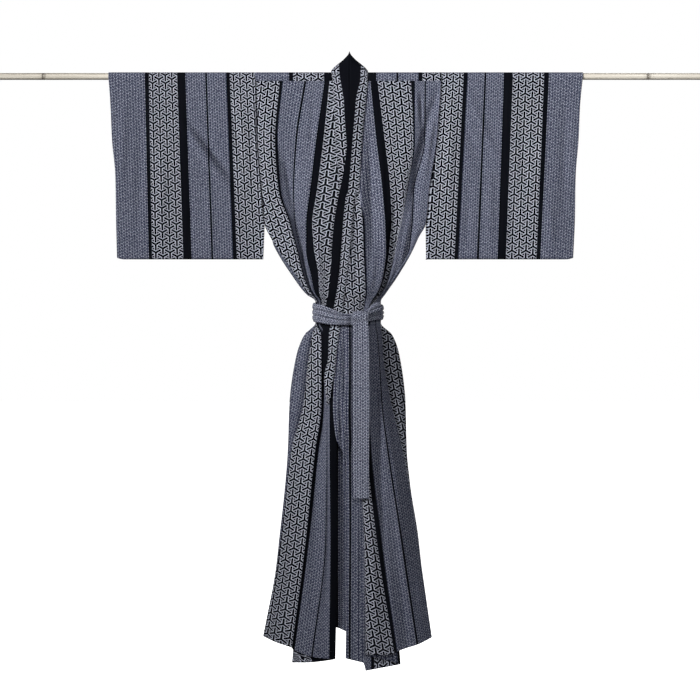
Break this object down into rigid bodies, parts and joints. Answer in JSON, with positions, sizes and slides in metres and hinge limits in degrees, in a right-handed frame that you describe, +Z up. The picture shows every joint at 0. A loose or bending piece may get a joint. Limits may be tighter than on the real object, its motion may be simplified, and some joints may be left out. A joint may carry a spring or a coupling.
{
  "type": "cotton yukata robe on a bamboo rod",
  "caption": "Indigo cotton yukata with tripod-lattice stripes, hung flat by its sleeves on a bamboo rod and tied with its own belt.",
  "frame": {"origin": "middle of the rod's axis, between the two sleeves, where the rod is held", "axes": "+X along the rod to the viewer's right, +Y towards the robe's back, +Z up"},
  "size_m": [1.82, 0.1675, 1.5412],
  "materials": {
    "cloth": "matte woven cotton",
    "collar_cloth": "matte woven cotton",
    "belt_cloth": "matte woven cotton",
    "bamboo": "dull natural bamboo"
  },
  "bodies": {
    "root": {"rod": "bamboo", "sleeve_left": "cloth", "sleeve_right": "cloth", "back_left": "cloth", "back_right": "cloth", "front_left": "cloth", "front_right": "cloth", "overlap_left": "cloth", "overlap_right": "cloth", "collar": "collar_cloth", "belt_band": "belt_cloth", "belt_knot": "belt_cloth", "belt_short_end": "belt_cloth", "belt_tail": "belt_cloth"}
  },
  "joints": []
}
